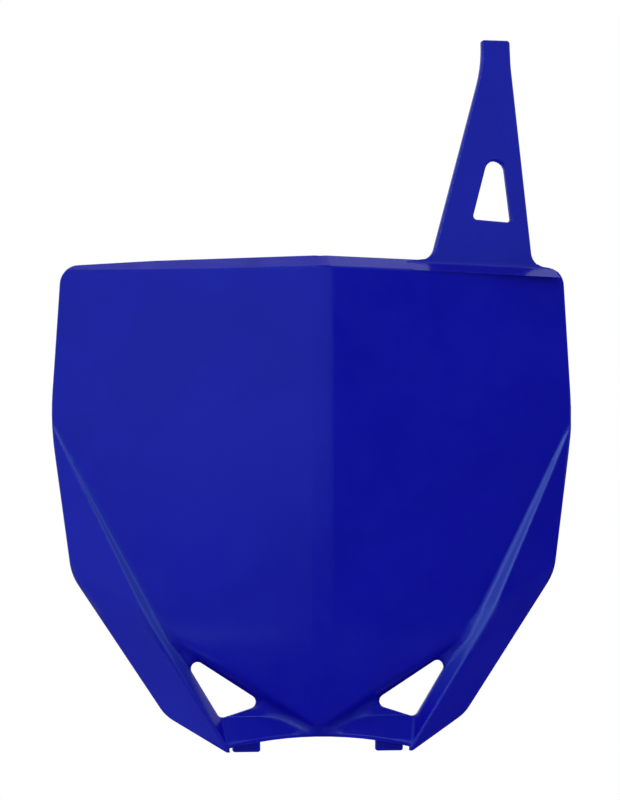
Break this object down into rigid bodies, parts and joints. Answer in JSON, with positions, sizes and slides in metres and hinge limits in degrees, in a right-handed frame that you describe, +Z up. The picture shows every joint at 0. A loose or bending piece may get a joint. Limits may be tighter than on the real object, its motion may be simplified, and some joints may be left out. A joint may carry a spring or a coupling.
{
  "type": "racing number board",
  "caption": "Blue moulded front number board for an off-road motorcycle: a keeled shield with stepped wings, vents under its prow, lower tabs and a leaning fixing strap.",
  "frame": {"origin": "midway between the two lower tabs, at their lower ends, in the middle of their thickness", "axes": "+Z up, -Y the way the board's face looks, +X to the viewer's right as the face is looked at"},
  "size_m": [0.255, 0.0439, 0.3464],
  "materials": {
    "blue_plastic": "satin gloss moulded polypropylene, coloured through"
  },
  "bodies": {
    "root": {"number_board": "blue_plastic"}
  },
  "joints": []
}
